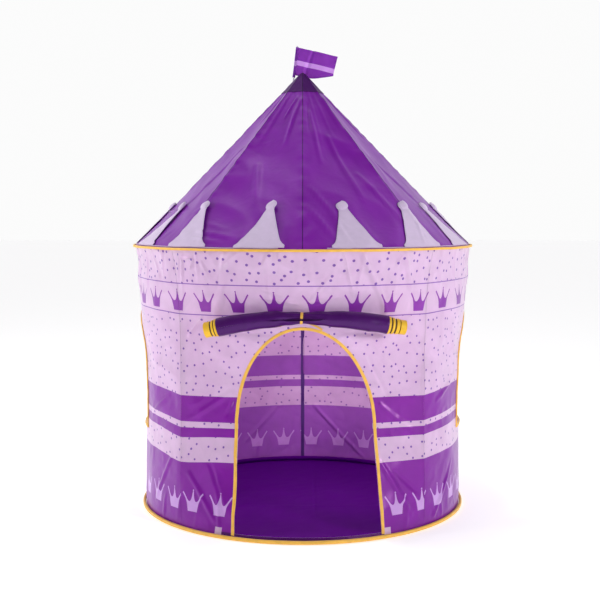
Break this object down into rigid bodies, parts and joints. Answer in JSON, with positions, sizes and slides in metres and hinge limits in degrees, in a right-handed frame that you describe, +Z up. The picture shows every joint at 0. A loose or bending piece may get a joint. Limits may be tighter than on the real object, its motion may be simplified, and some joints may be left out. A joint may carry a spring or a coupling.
{
  "type": "kids play tent",
  "caption": "Round castle play tent with a cone roof, crown-point trim, an arched door with its flap rolled up, side windows and a flag on a pull-out post.",
  "frame": {"origin": "centre of the floor sheet's underside, on the ground", "axes": "+Z up, the door faces -Y, +X to the right of someone who looks at the door"},
  "size_m": [1.0672, 1.0672, 1.4354],
  "materials": {
    "purple_cloth": "thin satin-like woven polyester, purple",
    "deep_purple_cloth": "satin-like polyester, dark purple",
    "lilac_cloth": "thin printed polyester, lilac with purple stripes, dots and crowns",
    "pale_lilac_cloth": "soft white-lilac trim cloth",
    "yellow_trim": "folded yellow binding tape",
    "floor_cloth": "coated polyester floor sheet, dark purple",
    "pole": "white resin rod",
    "fitting": "grey moulded connector"
  },
  "bodies": {
    "root": {"floor_sheet": "floor_cloth", "base_hoop_front": "pole", "base_hoop_right": "pole", "base_hoop_back": "pole", "base_hoop_left": "pole", "eave_hoop_front": "pole", "eave_hoop_right": "pole", "eave_hoop_back": "pole", "eave_hoop_left": "pole", "base_connector_front_right": "fitting", "base_connector_back_right": "fitting", "base_connector_back_left": "fitting", "base_connector_front_left": "fitting", "eave_connector_front_right": "fitting", "eave_connector_back_right": "fitting", "eave_connector_back_left": "fitting", "eave_connector_front_left": "fitting", "wall_pole_front_right": "pole", "wall_pole_back_right": "pole", "wall_pole_back_left": "pole", "wall_pole_front_left": "pole", "wall_sleeve_front_right": "lilac_cloth", "wall_sleeve_back_right": "lilac_cloth", "wall_sleeve_back_left": "lilac_cloth", "wall_sleeve_front_left": "lilac_cloth", "roof_pole_front_right": "pole", "roof_pole_back_right": "pole", "roof_pole_back_left": "pole", "roof_pole_front_left": "pole", "apex_hub": "fitting", "wall_front": "lilac_cloth", "wall_left": "lilac_cloth", "wall_right": "lilac_cloth", "wall_back": "lilac_cloth", "back_seam_tape": "deep_purple_cloth", "roof_panel_front_right": "purple_cloth", "roof_panel_right_front": "purple_cloth", "roof_panel_right_back": "purple_cloth", "roof_panel_back_right": "purple_cloth", "roof_panel_back_left": "purple_cloth", "roof_panel_left_back": "purple_cloth", "roof_panel_left_front": "purple_cloth", "roof_panel_front_left": "purple_cloth", "roof_cap": "deep_purple_cloth", "crown_trim_left": "pale_lilac_cloth", "crown_trim_right": "pale_lilac_cloth", "eave_piping": "yellow_trim", "base_piping": "yellow_trim", "door_binding": "yellow_trim", "window_binding_left": "yellow_trim", "window_binding_right": "yellow_trim"},
    "door_roll": {"door_roll": "deep_purple_cloth", "roll_binding_left": "yellow_trim", "roll_binding_right": "yellow_trim", "roll_tie": "yellow_trim"},
    "flag_post": {"flag_post": "pole"},
    "flag": {"flag": "purple_cloth"}
  },
  "joints": [
    {"name": "roll_swing", "type": "hinge", "parent": "root", "child": "door_roll", "pos_m": [0, -0.46332, 0.6285], "axis": [-1, 0, 0], "range_deg": [0, 60]},
    {"name": "post_pull", "type": "slide", "parent": "root", "child": "flag_post", "axis": [0.1167, 0, 0.9932], "range_m": [0, 0.05]},
    {"name": "flag_turn", "type": "hinge", "parent": "flag_post", "child": "flag", "pos_m": [-0.02738, 0.014, 1.34224], "axis": [0.1167, 0, 0.9932], "range_deg": [0, 270]}
  ]
}
